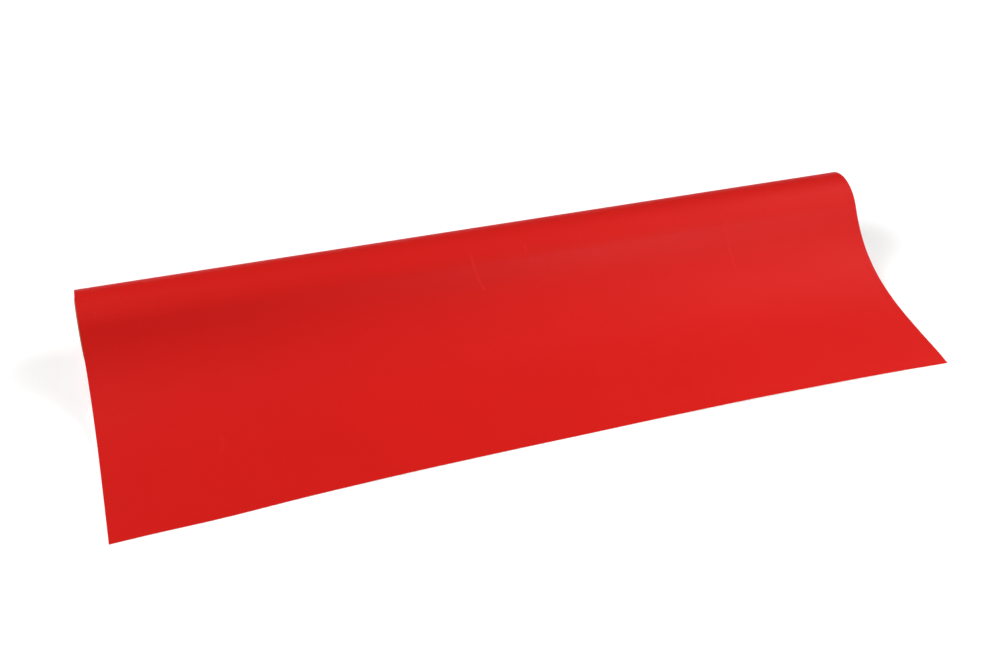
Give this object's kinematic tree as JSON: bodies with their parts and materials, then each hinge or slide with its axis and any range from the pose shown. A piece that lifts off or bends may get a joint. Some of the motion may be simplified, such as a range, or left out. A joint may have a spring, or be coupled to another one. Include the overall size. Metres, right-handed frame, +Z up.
{
  "type": "roll of sign vinyl",
  "caption": "Wide roll of red self-adhesive sign vinyl on a board core, with its free end pulled forward and lying flat.",
  "frame": {"origin": "on the table, under the middle of the whole object's box", "axes": "+X along the roll's axis, from left to right for someone facing the free end; the free end lies towards -Y; +Z up"},
  "size_m": [1.003, 0.3767, 0.1004],
  "materials": {
    "red_film": "matt calendered vinyl",
    "release_liner": "smooth silicone-coated paper",
    "kraft_paper": "smooth brown core paper",
    "core_board": "grey-brown core board",
    "tape": "pale double-sided tape"
  },
  "bodies": {
    "free_end": {"outer_turn_liner": "release_liner", "outer_turn_film": "red_film", "free_end_liner": "release_liner", "free_end_film": "red_film"},
    "roll": {"core_inner_ply": "kraft_paper", "core_board_plies": "core_board", "core_outer_ply": "kraft_paper", "start_tape": "tape", "wound_liner": "release_liner", "wound_film": "red_film", "wound_film_last_turn": "red_film"}
  },
  "joints": [
    {"name": "roll_turn", "type": "hinge", "parent": "free_end", "child": "roll", "pos_m": [0, 0.1382, 0.0502], "axis": [1, 0, 0], "continuous": true}
  ]
}
